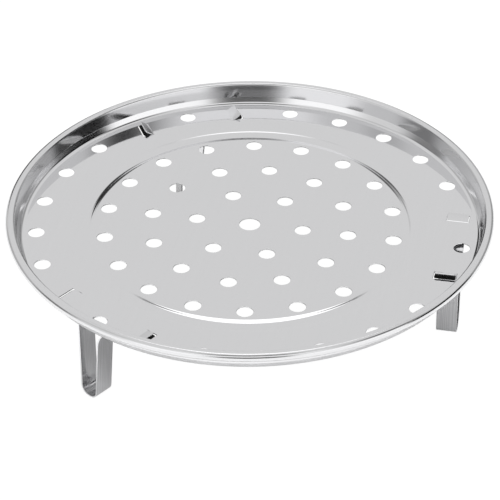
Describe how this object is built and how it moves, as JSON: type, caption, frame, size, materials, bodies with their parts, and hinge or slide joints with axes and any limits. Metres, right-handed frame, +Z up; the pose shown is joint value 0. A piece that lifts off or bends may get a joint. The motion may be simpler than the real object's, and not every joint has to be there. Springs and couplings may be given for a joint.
{
  "type": "steaming rack",
  "caption": "Shallow round perforated steaming tray with a rolled rim, standing on removable spring-strip legs hooked into lanced flaps.",
  "frame": {"origin": "on the floor under the tray's axis", "axes": "+Z up along the tray's axis, +X towards leg_1"},
  "size_m": [0.24, 0.24, 0.0613],
  "materials": {
    "tray_steel": "polished stainless sheet, almost mirror-like",
    "leg_steel": "satin grey stainless spring strip"
  },
  "bodies": {
    "tray_body": {"tray": "tray_steel"},
    "leg_1_body": {"leg_1": "leg_steel"},
    "leg_2_body": {"leg_2": "leg_steel"},
    "leg_3_body": {"leg_3": "leg_steel"}
  },
  "joints": [
    {"name": "leg_1_pull", "type": "slide", "parent": "tray_body", "child": "leg_1_body", "axis": [0, 0, -1], "range_m": [0, 0.02]},
    {"name": "leg_2_pull", "type": "slide", "parent": "tray_body", "child": "leg_2_body", "axis": [0, 0, -1], "range_m": [0, 0.02]},
    {"name": "leg_3_pull", "type": "slide", "parent": "tray_body", "child": "leg_3_body", "axis": [0, 0, -1], "range_m": [0, 0.02]}
  ]
}
